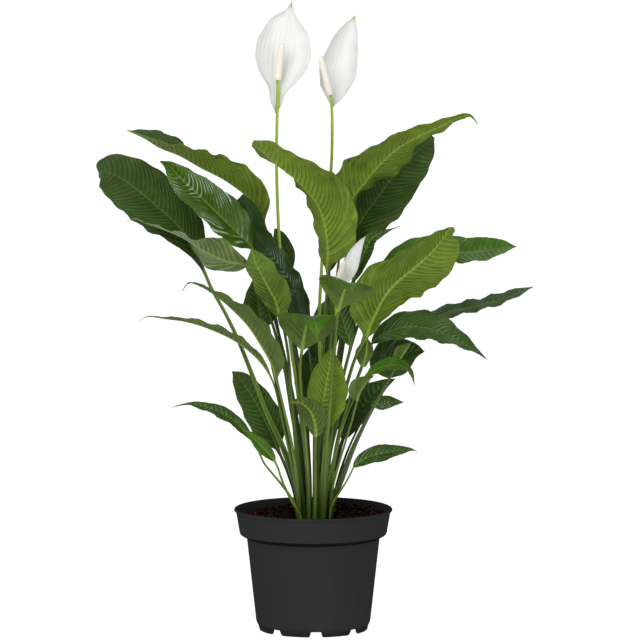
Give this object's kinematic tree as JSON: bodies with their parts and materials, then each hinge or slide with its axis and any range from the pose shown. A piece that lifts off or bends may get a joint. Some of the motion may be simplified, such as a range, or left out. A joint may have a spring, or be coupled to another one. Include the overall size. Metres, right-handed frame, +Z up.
{
  "type": "potted peace lily",
  "caption": "Peace lily with broad arching leaves and white hooded blooms, rooted in soil in a round black grower's pot.",
  "frame": {"origin": "on the pot's axis, at the bottom of the pot's foot", "axes": "+Z up along the pot's axis, -Y towards the front of the plant, +X to the right as seen from the front"},
  "size_m": [0.6618, 0.2871, 0.9497],
  "materials": {
    "leaf": "satin",
    "spathe": "matte",
    "spadix": "matte",
    "pot": "satin",
    "soil": "matte"
  },
  "bodies": {
    "root": {"leaf_low_left_curl": "leaf", "leaf_low_left_thin": "leaf", "leaf_mid_left_light": "leaf", "leaf_mid_left_thin": "leaf", "leaf_bright_left": "leaf", "leaf_striped_left": "leaf", "leaf_glossy_left": "leaf", "leaf_far_left": "leaf", "leaf_dark_arch": "leaf", "leaf_dark_mid_left": "leaf", "leaf_upper_left": "leaf", "leaf_low_left_dark": "leaf", "leaf_small_back_left": "leaf", "leaf_front_small": "leaf", "leaf_front_light": "leaf", "leaf_front_folded": "leaf", "leaf_front_winged": "leaf", "leaf_striped_middle": "leaf", "leaf_centre_big": "leaf", "leaf_low_right": "leaf", "leaf_small_light_right": "leaf", "leaf_small_folded_right": "leaf", "leaf_upright_right": "leaf", "leaf_small_back_right": "leaf", "leaf_right_big": "leaf", "leaf_right_glossy": "leaf", "leaf_upper_right": "leaf", "leaf_right_tip": "leaf", "leaf_twisted_right": "leaf", "leaf_small_right_dark": "leaf", "leaf_far_right": "leaf", "leaf_dark_right": "leaf", "leaf_low_right_dark": "leaf", "leaf_dark_upper_right": "leaf", "leaf_back_low": "leaf", "leaf_back_middle": "leaf", "leaf_back_tall": "leaf", "leaf_back_left": "leaf", "leaf_back_right": "leaf", "bloom_left_stem": "leaf", "bloom_left_hood": "spathe", "bloom_left_spike": "spadix", "bloom_right_stem": "leaf", "bloom_right_hood": "spathe", "bloom_right_spike": "spadix", "bloom_low_stem": "leaf", "bloom_low_hood": "spathe", "bloom_low_spike": "spadix", "pot": "pot", "soil": "soil"}
  },
  "joints": []
}
